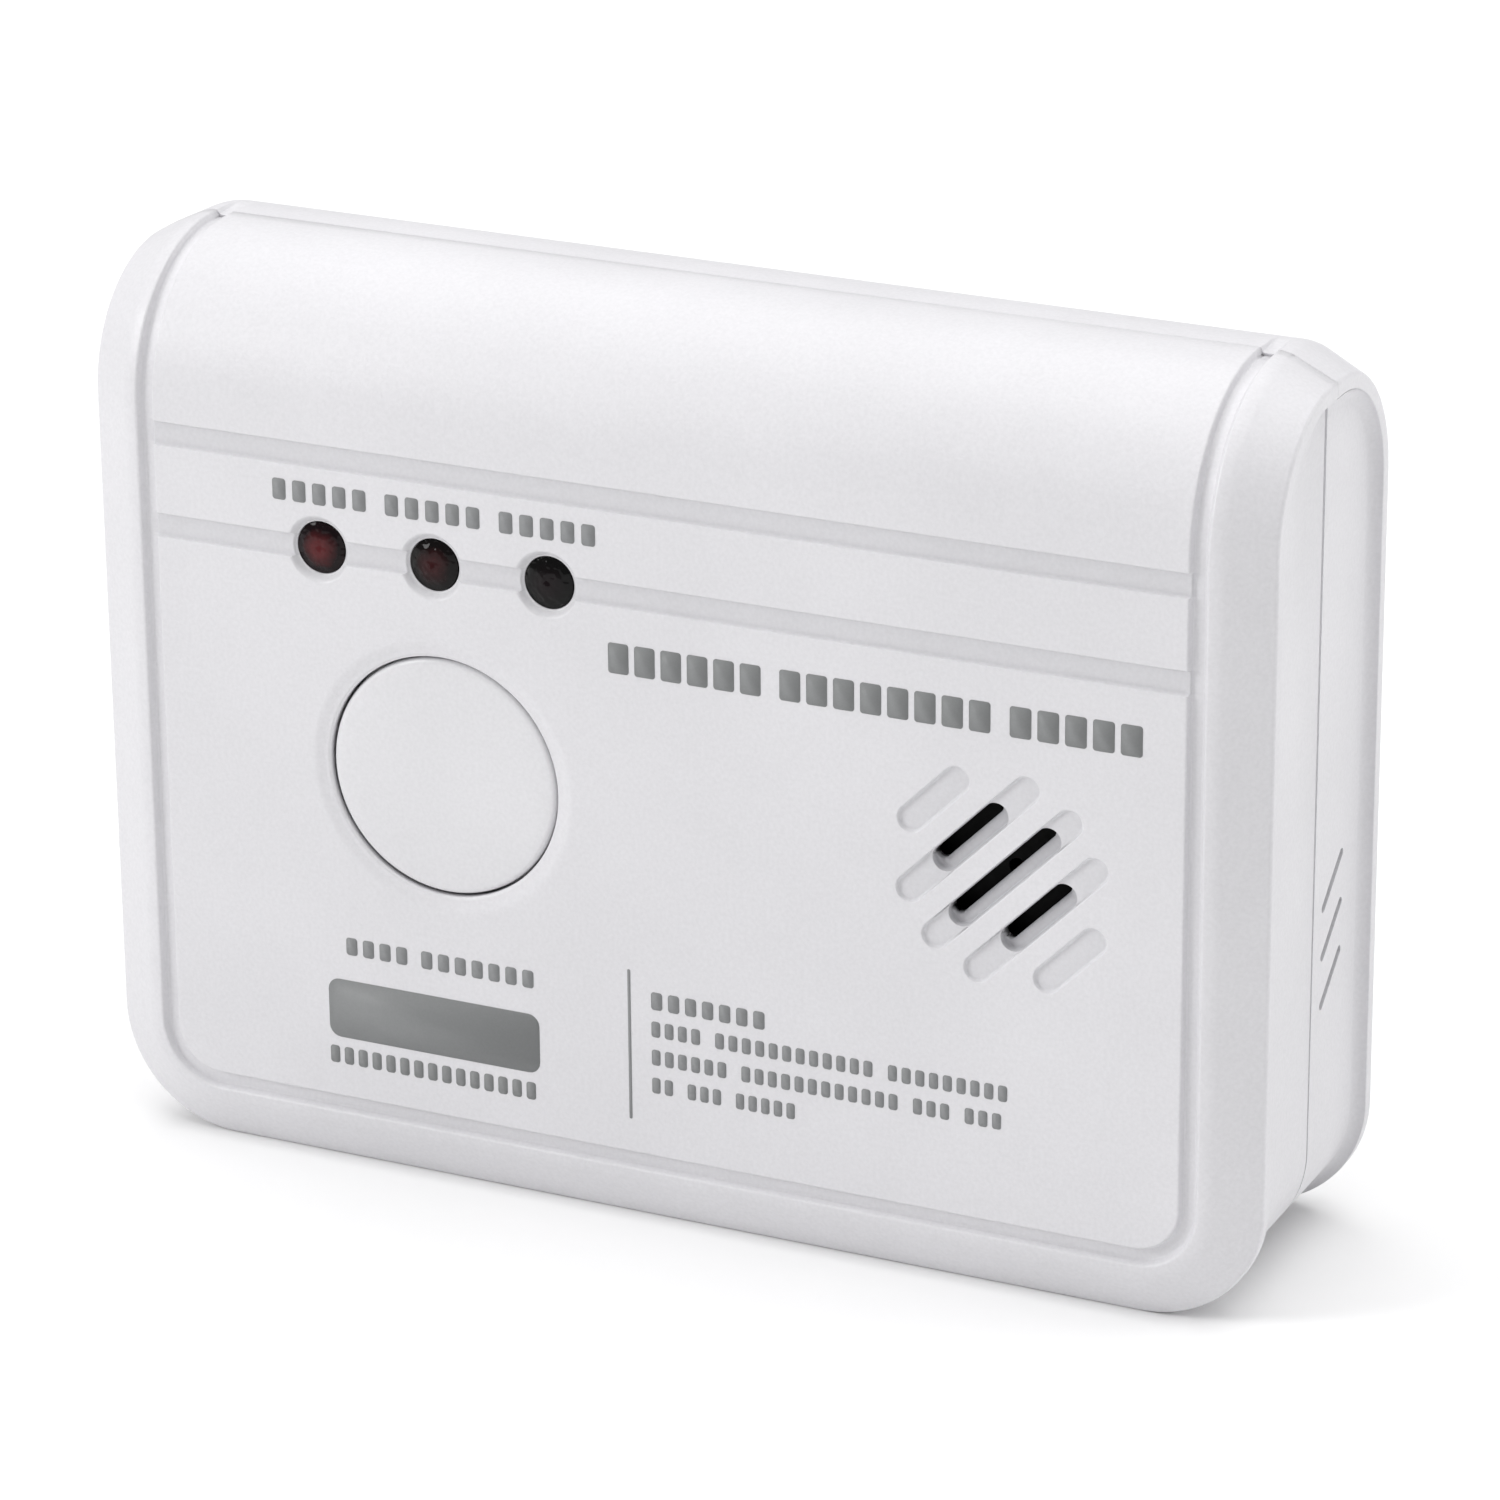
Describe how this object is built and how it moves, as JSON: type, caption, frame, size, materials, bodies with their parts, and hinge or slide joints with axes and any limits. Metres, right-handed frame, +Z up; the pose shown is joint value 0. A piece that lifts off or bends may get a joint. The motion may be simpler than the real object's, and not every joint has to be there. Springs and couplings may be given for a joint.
{
  "type": "carbon monoxide detector",
  "caption": "Wall or shelf carbon monoxide detector with an arched top, test button, three lights, slotted sounder grille and a hinged rear battery door.",
  "frame": {"origin": "middle of the case in width and depth, at the level of its lowest edge", "axes": "+X to the right seen from the front, +Y to the rear (the front panel looks along -Y), +Z up"},
  "size_m": [0.12, 0.033, 0.09],
  "materials": {
    "case_white": "fine-textured white moulded plastic",
    "door_white": "fine-textured white moulded plastic",
    "button_white": "smooth satin white plastic",
    "black_plastic": "satin black",
    "lens_alarm": "clear glossy, smoked red",
    "lens_fault": "clear glossy, smoked",
    "lens_power": "clear glossy, smoked",
    "tinned_metal": "tinned",
    "board_green": "solder mask on glass laminate",
    "screw_steel": "zinc plated",
    "foam_black": "closed-cell foam",
    "brass": "plain",
    "ceramic_white": "fired ceramic",
    "sensor_plastic": "moulded",
    "capacitor_sleeve": "shrink sleeve",
    "ferrite": "sintered",
    "copper_wire": "enamelled",
    "resistor_tan": "lacquered",
    "battery_jacket": "printed jacket",
    "contact_nickel": "nickel plated",
    "lead_black": "insulation",
    "lead_red": "insulation"
  },
  "bodies": {
    "case": {"front_cover": "case_white", "rear_housing": "case_white", "switch_body": "black_plastic", "led_alarm": "lens_alarm", "led_fault": "lens_fault", "led_power": "lens_power", "led_spacers": "black_plastic", "led_leads": "tinned_metal", "circuit_board": "board_green", "board_screws": "screw_steel", "case_screws": "screw_steel", "sounder_gasket": "foam_black", "sounder_chamber": "black_plastic", "piezo_disc": "brass", "piezo_ceramic": "ceramic_white", "piezo_ring": "black_plastic", "sensor_body": "sensor_plastic", "sensor_cap": "tinned_metal", "sensor_filter": "ceramic_white", "sensor_pins": "brass", "control_chip": "black_plastic", "chip_legs": "tinned_metal", "capacitors": "capacitor_sleeve", "inductor_core": "ferrite", "inductor_winding": "copper_wire", "resistors": "resistor_tan", "driver_transistor": "black_plastic", "battery_1": "battery_jacket", "battery_2": "battery_jacket", "battery_3": "battery_jacket", "contact_springs": "contact_nickel", "contact_plates": "contact_nickel", "lead_black": "lead_black", "lead_red": "lead_red"},
    "door": {"battery_door": "door_white"},
    "button": {"test_button": "button_white"},
    "plunger": {"switch_plunger": "black_plastic"}
  },
  "joints": [
    {"name": "door_hinge", "type": "hinge", "parent": "case", "child": "door", "pos_m": [-0.012, 0.0149, 0.0106], "axis": [-1, 0, 0], "range_deg": [0, 95]},
    {"name": "button_press", "type": "slide", "parent": "case", "child": "button", "axis": [0, 1, 0], "range_m": [0, 0.0008], "stiffness_N_per_m": 1500, "springref_m": -0.0004},
    {"name": "plunger_press", "type": "slide", "parent": "case", "child": "plunger", "axis": [0, 1, 0], "range_m": [0, 0.0008]}
  ],
  "couplings": [
    {"joint": "plunger_press", "follows": "button_press", "ratio": 1}
  ]
}
